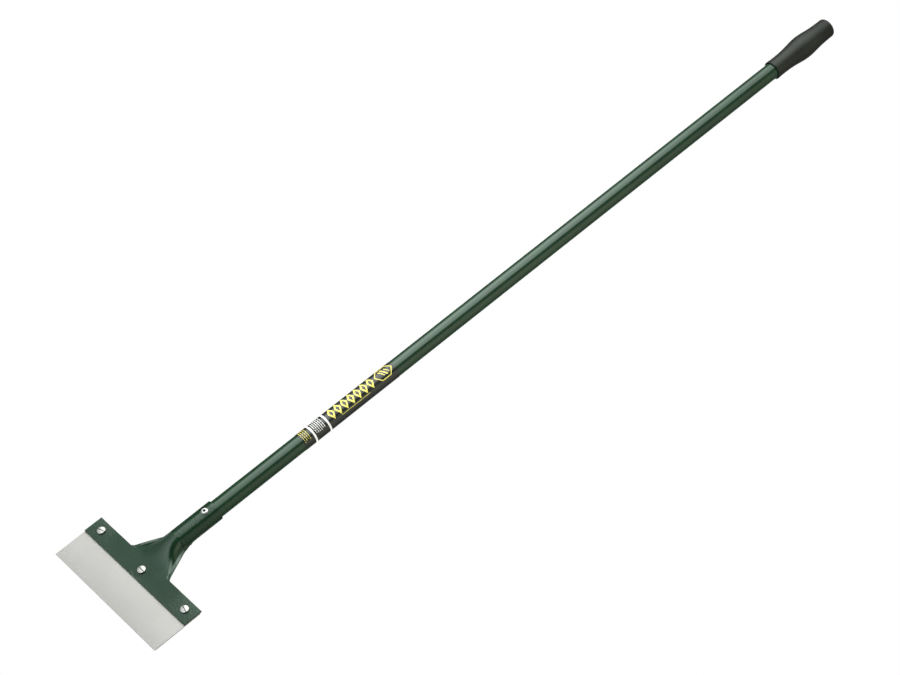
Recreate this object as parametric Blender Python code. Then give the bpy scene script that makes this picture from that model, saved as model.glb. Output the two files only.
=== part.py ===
"""Long-handled blade scraper: a flat steel blade held by three slotted screws
behind a pressed steel head, whose neck is rolled into a socket; a steel tube
is riveted into the socket and carries a bulbous rubber hand grip.

Frame: +Z runs up the shaft, X is the blade's width, the front of the head
faces -Y.  The origin lies on the shaft's axis, level with the working edge.
All lengths are in millimetres until place() turns them into metres.
"""
import bpy
import bmesh
import math
from mathutils import Vector, Matrix

MM = 0.001
SHARP_ANGLE = math.radians(32)

# ------------------------------------------------ clearances
GAP = 0.25                 # on either side of the blade
FASTENER_GAP = 0.2         # between the parts stacked on a screw
TUBE_FIT = 0.3             # radial play around the tube

# ------------------------------------------------ blade
BLADE_W = 254.0            # 10 inch blade
BLADE_T = 2.0
BLADE_TOP = 86.0           # hidden upper edge, behind the head plate
BLADE_BEVEL_H = 4.0        # ground relief on the rear of the working edge
BLADE_LAND = 0.6           # flat left on the working edge

# ------------------------------------------------ shaft tube, film, grip
TUBE_R = 14.3              # 1 1/8 inch tube
TUBE_WALL = 1.5
TUBE_Z0, TUBE_Z1 = 168.0, 1582.5

FILM_Z0, FILM_Z1 = 386.0, 578.0
FILM_T = 0.2
FILM_CLEAR = 0.15          # radial space under the film

GRIP_Z0, GRIP_Z1 = 1452.0, 1593.5
GRIP_BORE_R = TUBE_R + TUBE_FIT
GRIP_FLOOR = TUBE_Z1 + 0.5
GRIP_END_R = 4.5           # rounding of the closed end

# ------------------------------------------------ head
SHEET_T = 2.2              # pressed sheet of the head
PLATE_FRONT = 3.0          # y of the head plate's front face
PLATE_BOT, PLATE_TOP = 56.4, 89.0
NECK_HALF = 46.4           # half width of the neck where it leaves the plate
NECK_TAPER = 0.503         # half width lost per mm of height
ROOT_W, ROOT_H = 3.0, 5.0  # fillet where the neck's edge meets the plate
ROOT_POWER = 2.2
TOE_Z = 80.5               # where the pressed hump rises out of the plate
FULL_Z = 140.0             # the hump is a full half tube from here up
ROLLED_Z = 165.0           # the neck has closed into the socket from here up
RIM_Z = 216.0              # mouth of the socket
SEAM_GAP = 1.2             # open seam down the back of the socket
SOCKET_MID_R = TUBE_R + TUBE_FIT + SHEET_T / 2
SOCKET_OUT_R = SOCKET_MID_R + SHEET_T / 2

# ------------------------------------------------ screws and their holes
SCREW_X = 106.0            # the side screws, either way from the middle
SCREW_Z_SIDE, SCREW_Z_MID = 73.6, 72.4
SHANK_R = 2.65             # M6 shank, drawn without its thread
SHANK_LEN = 16.0
TIP_CHAMFER = 0.6
PAN_R, PAN_H = 6.85, 2.8   # screw head
PAN_EDGE = 0.25            # chamfer around the screw head's underside
RIM_R = 1.0                # rounding between a head's crown and its wall
CROWN = math.radians(11)   # how far the crown has sloped where that begins
SLOT_W, SLOT_D = 1.4, 1.5
SLOT_OVERRUN = 2.0         # slot cutter beyond the screw head
HOLE_R = 3.3

# side: x, z, then turns in degrees, anticlockwise from +X seen from the
# front: the screw slot, the spring washer's cut, the middle of a nut flat
FASTENERS = {
    "left": (-SCREW_X, SCREW_Z_SIDE, 17.0, 60, 10),
    "middle": (0.0, SCREW_Z_MID, -2.5, 200, 27),
    "right": (SCREW_X, SCREW_Z_SIDE, -15.0, 60, 48),
}

WASHER_R, WASHER_T = 6.0, 1.4
WASHER_CHAMFER = 0.2
SPRING_R, SPRING_T = 5.7, 1.6
SPRING_BORE_R = HOLE_R - 0.1
SPRING_CUT = math.radians(12)
NUT_AF, NUT_T = 10.0, 5.0  # across flats, thickness
NUT_BORE_R = 3.04
NUT_CHAMFER_H = 0.45
NUT_FACE_SCALE = 0.93      # radius of an end face over the corner radius

# y stations from the head plate back through the blade to the nuts
Y_MID = PLATE_FRONT + SHEET_T / 2
Y_BLADE0 = PLATE_FRONT + SHEET_T + GAP
Y_BLADE1 = Y_BLADE0 + BLADE_T
Y_WASHER0 = Y_BLADE1 + GAP
Y_WASHER1 = Y_WASHER0 + WASHER_T
Y_SPRING0 = Y_WASHER1 + FASTENER_GAP
Y_SPRING1 = Y_SPRING0 + SPRING_T
Y_NUT0 = Y_SPRING1 + FASTENER_GAP
Y_NUT1 = Y_NUT0 + NUT_T
Y_PAN = PLATE_FRONT - FASTENER_GAP     # underside of the screw heads
Y_PAN_TOP = Y_PAN - PAN_H
Y_TIP = Y_PAN + SHANK_LEN

# ------------------------------------------------ rivet
RIVET_Z = 198.4
RIVET_TURN = 5.0           # degrees off the head's centre line, towards +X
RIVET_FLANGE_R = 5.7
RIVET_BODY_R = 3.15
RIVET_BORE_R = 2.2
RIVET_HOLE_R = RIVET_BODY_R + 0.2
DOME_INNER_R = RIVET_BORE_R + 0.15
DOME_BASE = SOCKET_OUT_R + 0.35
DOME_H = 1.75
FLANGE_UNDER = SOCKET_OUT_R - 1.3      # before the saddle trims it


# ------------------------------------------------ scene and helpers
for old in list(bpy.data.objects):
    bpy.data.objects.remove(old, do_unlink=True)


def add_empty(name, parent=None, loc=(0, 0, 0)):
    empty = bpy.data.objects.new(name, None)
    bpy.context.scene.collection.objects.link(empty)
    empty.parent = parent
    empty.location = Vector(loc) * MM
    return empty


FRAME = add_empty("scraper_frame")


def place(name, verts, faces, mat, loc=(0, 0, 0), smooth=True, parent=FRAME):
    """One object from millimetre coordinates, its faces turned outward."""
    mesh = bpy.data.meshes.new(name)
    mesh.from_pydata([(x * MM, y * MM, z * MM) for x, y, z in verts], [],
                     faces)
    bm = bmesh.new()
    bm.from_mesh(mesh)
    bmesh.ops.recalc_face_normals(bm, faces=bm.faces)
    bm.to_mesh(mesh)
    bm.free()
    if smooth:
        mesh.shade_smooth()
        mesh.set_sharp_from_angle(angle=SHARP_ANGLE)
    if mat is not None:
        mesh.materials.append(mat)
    ob = bpy.data.objects.new(name, mesh)
    ob.location = Vector(loc) * MM
    bpy.context.scene.collection.objects.link(ob)
    ob.parent = parent
    return ob


def place_cutter(name, verts, faces, loc=(0, 0, 0)):
    """A helper solid for booleans, kept out of renders."""
    ob = place(name, verts, faces, None, loc=loc, smooth=False)
    ob.hide_render = True
    ob.display_type = 'WIRE'
    return ob


def add_boolean(target, name, operation, operand):
    mod = target.modifiers.new(name, 'BOOLEAN')
    mod.operation = operation
    mod.solver = 'EXACT'
    mod.object = operand


def cut(target, cutter):
    add_boolean(target, "cut_" + cutter.name, 'DIFFERENCE', cutter)


def spin(profile, segments, closed=True):
    """Spin a profile of (radius, height) points about Z.  A radius of 0 at
    either end of an open profile is a pole; a closed profile is a ring."""
    verts, rings = [], []
    for radius, height in profile:
        first = len(verts)
        if radius < 1e-9:
            verts.append((0.0, 0.0, height))
        else:
            for i in range(segments):
                a = 2 * math.pi * i / segments
                verts.append((radius * math.cos(a), radius * math.sin(a),
                              height))
        rings.append(list(range(first, len(verts))))
    pairs = list(zip(rings, rings[1:]))
    if closed:
        pairs.append((rings[-1], rings[0]))
    faces = []
    for low, high in pairs:
        for i in range(segments):
            j = (i + 1) % segments
            if len(low) == 1:
                faces.append((low[0], high[i], high[j]))
            elif len(high) == 1:
                faces.append((low[i], low[j], high[0]))
            else:
                faces.append((low[i], low[j], high[j], high[i]))
    return verts, faces


def cylinder(radius, z0, z1, segments):
    return spin([(0, z0), (radius, z0), (radius, z1), (0, z1)], segments,
                closed=False)


def sleeve(inner, outer, z0, z1, segments):
    return spin([(outer, z0), (outer, z1), (inner, z1), (inner, z0)],
                segments)


def along_y(verts):
    """Turn a shape made along +Z so that it points along +Y."""
    return [(x, z, -y) for x, y, z in verts]


def along_rivet(verts):
    """Lay a shape made along +Z along the rivet: its z counts outward from
    the shaft's axis through the front of the socket."""
    turn = Matrix.Rotation(math.radians(RIVET_TURN), 4, 'Z')
    out = []
    for x, y, z in verts:
        p = turn @ Vector((x, -z, y))
        out.append((p.x, p.y, p.z + RIVET_Z))
    return out


def drill(target, name, x, z, y0, y1):
    """Cut a screw hole along Y."""
    verts, faces = cylinder(HOLE_R, y0, y1, 32)
    cut(target, place_cutter(name, along_y(verts), faces, loc=(x, 0, z)))


def ramp(value, start, end):
    """Smooth step from 0 at start to 1 at end."""
    t = min(1.0, max(0.0, (value - start) / (end - start)))
    return t * t * (3 - 2 * t)


# ------------------------------------------------ materials
def material(name, color, roughness, metallic):
    mat = bpy.data.materials.new(name)
    mat.use_nodes = True
    inputs = mat.node_tree.nodes["Principled BSDF"].inputs
    inputs["Base Color"].default_value = (*color, 1.0)
    inputs["Roughness"].default_value = roughness
    inputs["Metallic"].default_value = metallic
    return mat


GREEN = material("green_gloss_paint", color=(0.018, 0.052, 0.026),
                 roughness=0.25, metallic=0.0)
STEEL = material("ground_blade_steel", color=(0.62, 0.61, 0.58),
                 roughness=0.42, metallic=1.0)
ZINC = material("bright_zinc", color=(0.80, 0.80, 0.78),
                roughness=0.25, metallic=1.0)
ALUMINIUM = material("rivet_aluminium", color=(0.86, 0.86, 0.85),
                     roughness=0.30, metallic=1.0)
DARK_STEEL = material("mandrel_steel", color=(0.25, 0.25, 0.25),
                      roughness=0.45, metallic=1.0)
RUBBER = material("grip_rubber", color=(0.050, 0.055, 0.052),
                  roughness=0.55, metallic=0.0)
FILM = material("label_film", color=(0.015, 0.016, 0.015),
                roughness=0.30, metallic=0.0)


# ------------------------------------------------ head: plate, neck, socket
ARCH_STEPS, SIDE_STEPS, EDGE_STEPS = 8, 5, 2

# The flange along each edge of the lower neck leans back with height.
LEAN_Z0, LEAN_Z1 = 112.0, 152.0
LEAN_MAX = math.radians(44)
LEAN_POWER = 1.1
FLANGE_W = 4.1
FLANGE_GROWTH = 0.2        # added by FULL_Z

# Radius of the fillet between arch and flange: a base value, plus an extra
# that fades out above the toe, plus an extra that comes in near the top.
FILLET_R = 3.6
TOE_EXTRA, TOE_FADE = 16.0, (82.0, 98.0)
TOP_EXTRA, TOP_RISE = 2.0, (116.0, 130.0)
ARCH_ITERATIONS = 12
MIN_RISE = 1e-4            # keeps the flat plate's arch solvable
MIN_ANGLE = 1e-4

# How the edge of the blank leaves the plate's plane and closes behind the
# tube: height, then turn (degrees) and length of the side wall's arc, then
# turn and length of the last strip up to the sheet's edge.  A positive turn
# rolls the sheet in behind the tube, a negative one splays it outward.
CLOSED_TURN = 60
CLOSED_LEN = SOCKET_MID_R * math.radians(CLOSED_TURN)
BACK_QUARTER = SOCKET_MID_R * math.pi / 2 - SEAM_GAP / 2
ROLL_STATIONS = [
    (FULL_Z, -46, 3.6, 0, 5.0),
    (147.0, -8, 4.4, 4, 4.4),
    (151.0, 9, 6.0, 9, 4.0),
    (155.5, 22, 9.0, 14, 5.0),
    (160.0, 42, 12.4, 22, 6.4),
    (ROLLED_Z, CLOSED_TURN, CLOSED_LEN, 28, BACK_QUARTER - CLOSED_LEN),
]

# heights of the sections, through the plate and then up the neck
PLATE_SECTIONS = [PLATE_BOT, 62.0, TOE_Z, 83.5, 86.0, PLATE_TOP]
NECK_SECTIONS = [
    90.2, 92.0, 94.5, 98.0, 102.0, 107.0, 112.0, 117.0, 122.0, 127.0,
    131.0, 135.5, FULL_Z, 143.5, 147.0, 151.0, 155.5, 160.0, ROLLED_Z, RIM_Z,
]
# x of the plate's columns outside the neck
ARM_COLUMNS = [58.0, 82.0, SCREW_X, BLADE_W / 2]


def walk(points, length, turn, steps):
    """Carry a bent sheet on by one arc: points holds (x, y, heading)."""
    x, y, heading = points[-1]
    for _ in range(steps):
        mid = heading + turn / steps / 2
        x += length / steps * math.cos(mid)
        y += length / steps * math.sin(mid)
        heading += turn / steps
        points.append((x, y, heading))


def neck_half_width(z):
    """Half width of the lower neck, with the fillet at its root."""
    root = max(0.0, 1 - (z - PLATE_TOP) / ROOT_H)
    return (NECK_HALF - NECK_TAPER * (z - PLATE_TOP)
            + ROOT_W * root ** ROOT_POWER)


def arched_section(z):
    """Below FULL_Z: an arch that sweeps back onto a flange, gently at the
    toe and more tightly above."""
    neck_z = max(z, PLATE_TOP)
    lean = LEAN_MAX * ramp(neck_z, LEAN_Z0, LEAN_Z1) ** LEAN_POWER
    flange = FLANGE_W + FLANGE_GROWTH * ramp(neck_z, LEAN_Z0, FULL_Z)
    fillet = (FILLET_R + TOE_EXTRA * (1 - ramp(neck_z, *TOE_FADE))
              + TOP_EXTRA * ramp(neck_z, *TOP_RISE))
    rise = max((Y_MID + SOCKET_MID_R) * ramp(z, TOE_Z, FULL_Z), MIN_RISE)
    foot = neck_half_width(neck_z) - flange * math.cos(lean)
    # find the arch's angle, so that arch and fillet together carry the
    # sheet from the ridge back to the plate's plane, where the flange starts
    angle = 2 * math.atan2(rise, foot)
    for _ in range(ARCH_ITERATIONS):
        arch_r = (foot - fillet * (math.sin(angle) - math.sin(lean))) \
            / math.sin(angle)
        reached = arch_r * (1 - math.cos(angle)) \
            + fillet * (math.cos(lean) - math.cos(angle))
        angle = min(math.pi / 2, max(MIN_ANGLE, angle * rise / reached))
    points = [(0.0, Y_MID - rise, 0.0)]
    walk(points, arch_r * angle, angle, ARCH_STEPS)
    # a nearly flat section still needs a short strip here
    fillet_len = fillet * (angle - lean) if angle > lean + 0.02 else 0.1
    walk(points, fillet_len, lean - angle, SIDE_STEPS)
    walk(points, flange, 0.0, EDGE_STEPS)
    return points


def rolled_section(z):
    """From FULL_Z up: a quarter circle, then the closing side and edge."""
    z = min(z, ROLLED_Z)
    for low, high in zip(ROLL_STATIONS, ROLL_STATIONS[1:]):
        if z <= high[0]:
            t = (z - low[0]) / (high[0] - low[0])
            side_turn, side_len, edge_turn, edge_len = [
                a + (b - a) * t for a, b in zip(low[1:], high[1:])]
            break
    points = [(0.0, -SOCKET_MID_R, 0.0)]
    walk(points, SOCKET_MID_R * math.pi / 2, math.pi / 2, ARCH_STEPS)
    walk(points, side_len, math.radians(side_turn), SIDE_STEPS)
    walk(points, edge_len, math.radians(edge_turn), EDGE_STEPS)
    return points


def head_mesh():
    """Skin both faces of the sheet, then close it along its open edges."""
    arm_cols = len(ARM_COLUMNS)
    plate_rows = len(PLATE_SECTIONS)
    front, back = [], []
    for i, z in enumerate(PLATE_SECTIONS + NECK_SECTIONS):
        # mid-surface of the +X half, from the centre line outward
        half = arched_section(z) if z < FULL_Z else rolled_section(z)
        if i < plate_rows:
            edge_y = half[-1][1]
            half += [(x, edge_y, 0.0) for x in ARM_COLUMNS]
        full = [(-x, y, -heading) for x, y, heading in reversed(half[1:])]
        front_row, back_row = [], []
        for x, y, heading in full + half:
            dx = math.sin(heading) * SHEET_T / 2
            dy = -math.cos(heading) * SHEET_T / 2
            front_row.append((x + dx, y + dy, z))
            back_row.append((x - dx, y - dy, z))
        front.append(front_row)
        back.append(back_row)

    # number the columns so that column 0 is the neck's -X edge in every row
    verts, index = [], {}
    for side, grid in (("front", front), ("back", back)):
        for i, row in enumerate(grid):
            shift = arm_cols if i < plate_rows else 0
            for j, vert in enumerate(row):
                index[side, i, j - shift] = len(verts)
                verts.append(vert)

    last_col = len(front[-1]) - 1
    faces, edge_uses = [], {}
    for i in range(len(front) - 1):
        extra = arm_cols if i + 1 < plate_rows else 0
        for j in range(-extra, last_col + extra):
            quad = ((i, j), (i, j + 1), (i + 1, j + 1), (i + 1, j))
            faces.append(tuple(index[("front",) + c] for c in quad))
            faces.append(tuple(index[("back",) + c] for c in reversed(quad)))
            for a, b in zip(quad, quad[1:] + quad[:1]):
                edge_uses.setdefault((min(a, b), max(a, b)), []).append((a, b))
    for uses in edge_uses.values():
        if len(uses) == 1:
            a, b = uses[0]
            faces.append((index[("front",) + b], index[("front",) + a],
                          index[("back",) + a], index[("back",) + b]))
    return verts, faces


def build_head():
    return place("head", *head_mesh(), GREEN)


# ------------------------------------------------ blade
def build_blade():
    outline = [  # (y, z)
        (Y_BLADE0, 0.0),
        (Y_BLADE0 + BLADE_LAND, 0.0),
        (Y_BLADE1, BLADE_BEVEL_H),
        (Y_BLADE1, BLADE_TOP),
        (Y_BLADE0, BLADE_TOP),
    ]
    verts = [(x, y, z) for x in (-BLADE_W / 2, BLADE_W / 2)
             for y, z in outline]
    n = len(outline)
    faces = [tuple(range(n)), tuple(range(2 * n - 1, n - 1, -1))]
    faces += [(i, (i + 1) % n, n + (i + 1) % n, n + i) for i in range(n)]
    return place("blade", verts, faces, STEEL, smooth=False)


def drill_screw_holes(head, blade):
    for side, (x, z, *_) in FASTENERS.items():
        drill(head, "guide_head_hole_" + side, x, z, y0=-1.0, y1=9.0)
        drill(blade, "guide_blade_hole_" + side, x, z, y0=3.0, y1=10.0)


# ------------------------------------------------ shaft tube and label film
def build_tube():
    return place("shaft_tube", *sleeve(TUBE_R - TUBE_WALL, TUBE_R,
                                       TUBE_Z0, TUBE_Z1, 64), GREEN)


def build_film():
    inner = TUBE_R + FILM_CLEAR
    place("label_film", *sleeve(inner, inner + FILM_T, FILM_Z0, FILM_Z1, 64),
          FILM)


# ------------------------------------------------ blind rivet
# (radius, distance from the shaft's axis)
RIVET_BLIND_END = [(4.0, 11.7), (4.3, 11.1), (4.0, 10.6), (3.2, 10.2)]
MANDREL = [
    (0, 8.2), (1.6, 8.2), (2.5, 8.9), (2.5, 9.7), (1.9, 10.0),
    (1.9, SOCKET_OUT_R - 0.7), (1.3, SOCKET_OUT_R - 0.3),
    (0, SOCKET_OUT_R - 0.45),
]


def cut_rivet_holes(head, tube):
    """Through the front walls of the socket and the tube."""
    for target, name in ((head, "guide_rivet_hole_socket"),
                         (tube, "guide_rivet_hole_tube")):
        verts, faces = cylinder(RIVET_HOLE_R, 9.0, 22.0, 32)
        cut(target, place_cutter(name, along_rivet(verts), faces))


def build_rivet():
    profile = [(RIVET_BORE_R, RIVET_BLIND_END[-1][1]),
               (RIVET_BORE_R, SOCKET_OUT_R + 1.9)]
    for i in range(7):
        a = math.radians(90 * i / 6)
        profile.append((
            DOME_INNER_R + (RIVET_FLANGE_R - DOME_INNER_R) * math.sin(a),
            DOME_BASE + DOME_H * math.cos(a)))
    profile += [(RIVET_FLANGE_R, FLANGE_UNDER), (RIVET_BODY_R, FLANGE_UNDER),
                (RIVET_BODY_R, 12.1)]
    verts, faces = spin(profile + RIVET_BLIND_END, 32)
    rivet = place("rivet_shell", along_rivet(verts), faces, ALUMINIUM)

    # the flange's underside is drawn down onto the round socket
    saddle = place_cutter("guide_rivet_saddle",
                          *cylinder(SOCKET_OUT_R + 0.2, 180.0, 215.0, 64))
    inner, outer = RIVET_BODY_R, RIVET_FLANGE_R + 4
    low, high = SOCKET_OUT_R - 3.4, SOCKET_OUT_R + 6
    verts, faces = spin([(inner, low), (outer, low), (outer, high),
                         (inner, high)], 32)
    ring = place_cutter("guide_rivet_ring", along_rivet(verts), faces)
    add_boolean(saddle, "only_under_the_flange", 'INTERSECT', ring)
    cut(rivet, saddle)


def build_mandrel():
    """The broken mandrel left in the rivet, its head at the blind end."""
    verts, faces = spin(MANDREL, 24, closed=False)
    place("rivet_mandrel", along_rivet(verts), faces, DARK_STEEL)


# ------------------------------------------------ hand grip
def grip_radius(z):
    """Turned outline: a slim flared mouth, a palm swell a little above the
    middle, and a slimmer closed end."""
    t = (z - GRIP_Z0) / (GRIP_Z1 - GRIP_Z0)
    swell_at = 0.525
    swell_width = 0.20 if t < swell_at else 0.215
    base = 16.45 + 0.9 * ramp(t, 0.35, 0.95)
    swell = 4.35 * math.exp(-((t - swell_at) / swell_width) ** 2)
    mouth = 0.60 * math.exp(-(t / 0.055) ** 2)
    return base + swell + mouth


def build_grip():
    profile = [  # bore, widening towards the mouth
        (0, GRIP_FLOOR),
        (GRIP_BORE_R, GRIP_FLOOR),
        (GRIP_BORE_R, GRIP_Z0 + 9.0),
        (GRIP_BORE_R + 0.5, GRIP_Z0 + 4.0),
        (GRIP_BORE_R + 1.1, GRIP_Z0),
        (grip_radius(GRIP_Z0) - 0.6, GRIP_Z0),
    ]
    steps = 20
    low, high = GRIP_Z0 + 0.8, GRIP_Z1 - GRIP_END_R
    for i in range(steps + 1):
        z = low + (high - low) * i / steps
        profile.append((grip_radius(z), z))
    end_r = grip_radius(high)
    for i in range(1, 6):
        a = math.radians(90 * i / 5)
        profile.append((end_r - GRIP_END_R + GRIP_END_R * math.cos(a),
                        high + GRIP_END_R * math.sin(a)))
    profile.append((0, GRIP_Z1))
    place("grip", *spin(profile, 40, closed=False), RUBBER)


# ------------------------------------------------ blade fasteners
def build_screw(side, loc, slot_turn):
    """Slotted pan-head screw."""
    crown_r = (PAN_R - RIM_R) / math.sin(CROWN) + RIM_R
    rim_y = Y_PAN_TOP + (crown_r - RIM_R) * (1 - math.cos(CROWN)) + RIM_R
    profile = [(0, Y_PAN_TOP)]
    for i in range(1, 5):
        a = CROWN * i / 4
        profile.append((crown_r * math.sin(a),
                        Y_PAN_TOP + crown_r * (1 - math.cos(a))))
    for i in range(1, 5):
        a = CROWN + (math.pi / 2 - CROWN) * i / 4
        profile.append((PAN_R - RIM_R + RIM_R * math.sin(a),
                        rim_y - RIM_R * math.cos(a)))
    profile += [(PAN_R, Y_PAN - PAN_EDGE), (PAN_R - PAN_EDGE, Y_PAN),
                (SHANK_R, Y_PAN), (SHANK_R, Y_TIP - TIP_CHAMFER),
                (SHANK_R - TIP_CHAMFER, Y_TIP), (0, Y_TIP)]
    verts, faces = spin(profile, 32, closed=False)
    screw = place("screw_" + side, along_y(verts), faces, ZINC, loc=loc)

    reach = PAN_R + SLOT_OVERRUN
    verts = [(x, y, z) for x in (-reach, reach)
             for y in (Y_PAN_TOP - SLOT_OVERRUN, Y_PAN_TOP + SLOT_D)
             for z in (-SLOT_W / 2, SLOT_W / 2)]
    faces = [(0, 1, 3, 2), (4, 6, 7, 5), (0, 4, 5, 1), (2, 3, 7, 6),
             (0, 2, 6, 4), (1, 5, 7, 3)]
    slot = place_cutter("guide_slot_" + side, verts, faces, loc=loc)
    slot.rotation_euler = (0, -math.radians(slot_turn), 0)
    cut(screw, slot)


def build_flat_washer(side, loc):
    verts, faces = spin([
        (HOLE_R, Y_WASHER0), (WASHER_R - WASHER_CHAMFER, Y_WASHER0),
        (WASHER_R, Y_WASHER0 + WASHER_CHAMFER), (WASHER_R, Y_WASHER1),
        (HOLE_R, Y_WASHER1)], 32)
    place("flat_washer_" + side, along_y(verts), faces, ZINC, loc=loc)


def build_spring_washer(side, axis, cut_turn):
    """Split spring washer: a ring of rectangular wire with one cut."""
    steps = 30
    start = math.radians(cut_turn) + SPRING_CUT / 2
    wire = ((SPRING_BORE_R, Y_SPRING0), (SPRING_R, Y_SPRING0),
            (SPRING_R, Y_SPRING1), (SPRING_BORE_R, Y_SPRING1))
    verts = []
    for i in range(steps + 1):
        a = start + (2 * math.pi - SPRING_CUT) * i / steps
        verts += [(r * math.cos(a), y, r * math.sin(a)) for r, y in wire]
    faces = []
    for i in range(steps):
        for c in range(4):
            d = (c + 1) % 4
            faces.append((4 * i + c, 4 * i + d, 4 * i + 4 + d,
                          4 * i + 4 + c))
    faces += [(3, 2, 1, 0), tuple(4 * steps + c for c in range(4))]
    place("spring_washer_" + side, verts, faces, ZINC, parent=axis)


def build_nut(side, axis, flat_turn):
    """Hexagon nut with its corners chamfered at both ends."""
    n = 24
    turn = math.radians(flat_turn)
    angles = [2 * math.pi * i / n for i in range(n)]
    corner = NUT_AF / 2 / math.cos(math.pi / 6)
    rings = []  # (y, radius at each angle), outside first and then the bore
    for y, scale in ((Y_NUT0, NUT_FACE_SCALE), (Y_NUT0 + NUT_CHAMFER_H, 1.0),
                     (Y_NUT1 - NUT_CHAMFER_H, 1.0), (Y_NUT1, NUT_FACE_SCALE)):
        radii = []
        for a in angles:
            off_flat = (a + math.pi / 6) % (math.pi / 3) - math.pi / 6
            radii.append(min(NUT_AF / 2 / math.cos(off_flat), corner * scale))
        rings.append((y, radii))
    rings += [(y, [NUT_BORE_R] * n) for y in (Y_NUT1, Y_NUT0)]
    verts = [(r * math.cos(a + turn), y, r * math.sin(a + turn))
             for y, radii in rings for a, r in zip(angles, radii)]
    faces = []
    for c in range(len(rings)):
        d = (c + 1) % len(rings)
        for i in range(n):
            j = (i + 1) % n
            faces.append((c * n + i, c * n + j, d * n + j, d * n + i))
    place("nut_" + side, verts, faces, ZINC, parent=axis)


def build_fasteners():
    for side, (x, z, slot_turn, cut_turn, flat_turn) in FASTENERS.items():
        loc = (x, 0.0, z)
        build_screw(side, loc, slot_turn)
        build_flat_washer(side, loc)
        # the spring washer and the nut hang on their own axis
        axis = add_empty("nut_axis_" + side, parent=FRAME, loc=loc)
        build_spring_washer(side, axis, cut_turn)
        build_nut(side, axis, flat_turn)


# ------------------------------------------------ assembly
head_ob = build_head()
blade_ob = build_blade()
drill_screw_holes(head_ob, blade_ob)
tube_ob = build_tube()
cut_rivet_holes(head_ob, tube_ob)
build_rivet()
build_mandrel()
build_film()
build_grip()
build_fasteners()
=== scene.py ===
import math

import bmesh
import bpy
from mathutils import Matrix, Vector


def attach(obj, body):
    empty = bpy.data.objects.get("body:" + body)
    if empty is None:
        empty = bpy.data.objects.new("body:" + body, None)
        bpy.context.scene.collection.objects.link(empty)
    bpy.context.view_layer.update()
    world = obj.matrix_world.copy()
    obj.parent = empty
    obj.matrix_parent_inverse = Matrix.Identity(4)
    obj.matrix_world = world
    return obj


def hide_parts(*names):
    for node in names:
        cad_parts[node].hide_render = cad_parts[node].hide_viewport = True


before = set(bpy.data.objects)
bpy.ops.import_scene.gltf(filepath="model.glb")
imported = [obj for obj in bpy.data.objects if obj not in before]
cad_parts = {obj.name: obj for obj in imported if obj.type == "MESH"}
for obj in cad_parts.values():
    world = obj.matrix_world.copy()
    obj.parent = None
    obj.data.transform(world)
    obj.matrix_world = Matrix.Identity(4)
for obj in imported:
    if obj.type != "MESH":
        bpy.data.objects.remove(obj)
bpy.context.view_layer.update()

# Long-handled blade scraper: a pressed head carrying a wide blade, on a tube
# shaft with a moulded grip.  Lengths are millimetres: +Z up the shaft, X the
# blade's width, front -Y, origin under the shaft at the working edge.

MM = 0.001

# ------------------------------------------------------------ dimensions
BLADE_W, BLADE_TOP, BEVEL_H, EDGE_LAND = 254.0, 86.0, 4.0, 0.6
BLADE_FRONT, BLADE_BACK = 5.45, 7.45            # y of the blade's faces

PLATE_FRONT, SHEET = 3.0, 2.2                   # y, and the sheet thickness
PLATE_MID = PLATE_FRONT + SHEET / 2
PLATE_BOTTOM, PLATE_TOP = 56.4, 89.0
TOE_Z, FULL_Z = 80.5, 140.0                     # where the neck's bulge starts, is full
ROLLED_Z, RIM_Z = 165.0, 216.0                  # rolled socket: start, top rim

TUBE_OUTER, TUBE_INNER = 14.3, 12.8             # radii
TUBE_BOTTOM, TUBE_TOP = 168.0, 1582.5
SOCKET_MID = TUBE_OUTER + 0.3 + SHEET / 2       # radius of the sheet's middle
SOCKET_OUTER = SOCKET_MID + SHEET / 2

FILM_BOTTOM, FILM_TOP = 386.0, 578.0
FILM_INNER, FILM_OUTER = 14.45, 14.65
INK_INNER, INK_OUTER = FILM_OUTER + 0.005, FILM_OUTER + 0.05
LABEL_TURN = math.radians(9.0)                  # label centre line, from -Y to +X

GRIP_BOTTOM, GRIP_TOP, GRIP_BORE = 1452.0, 1593.5, 14.6
GRIP_ROUND = 4.5                                # radius round the closed end

# side: x, z, slot angle, spring washer's gap angle, nut angle (degrees)
SCREWS = {"left": (-106.0, 73.6, 17.0, 60, 10),
          "middle": (0.0, 72.4, -2.5, 200, 27),
          "right": (106.0, 73.6, -15.0, 60, 48)}
SCREW_HOLE_R = 3.3
HEAD_R, HEAD_H = 6.85, 2.8                      # screw head
HEAD_SEAT_Y, SCREW_TIP_Y = 2.8, 18.8
HEAD_RIM_R, CROWN_ANGLE = 1.0, math.radians(11)
SLOT_W, SLOT_DEPTH = 1.4, 1.5

RIVET_Z, RIVET_HOLE_R = 198.4, 3.35
RIVET_TURN = Matrix.Rotation(math.radians(5.0), 4, 'Z')


# ------------------------------------------------------------ mesh helpers
def smoothstep(t):
    t = min(1.0, max(0.0, t))
    return t * t * (3 - 2 * t)


def evenly(start, end, count):
    return [start + (end - start) * i / count for i in range(count + 1)]


def steps(start, stop, step):
    values = []
    while start < stop:
        values.append(start)
        start += step
    return values


def place(name, verts, faces, materials):
    """A new object from millimetre vertices, its faces turned outward."""
    mesh = bpy.data.meshes.new(name)
    mesh.from_pydata([(x * MM, y * MM, z * MM) for x, y, z in verts], [], faces)
    bm = bmesh.new()
    bm.from_mesh(mesh)
    bmesh.ops.recalc_face_normals(bm, faces=bm.faces)
    bm.to_mesh(mesh)
    bm.free()
    for material in materials:
        mesh.materials.append(material)
    ob = bpy.data.objects.new(name, mesh)
    bpy.context.scene.collection.objects.link(ob)
    return ob


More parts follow.
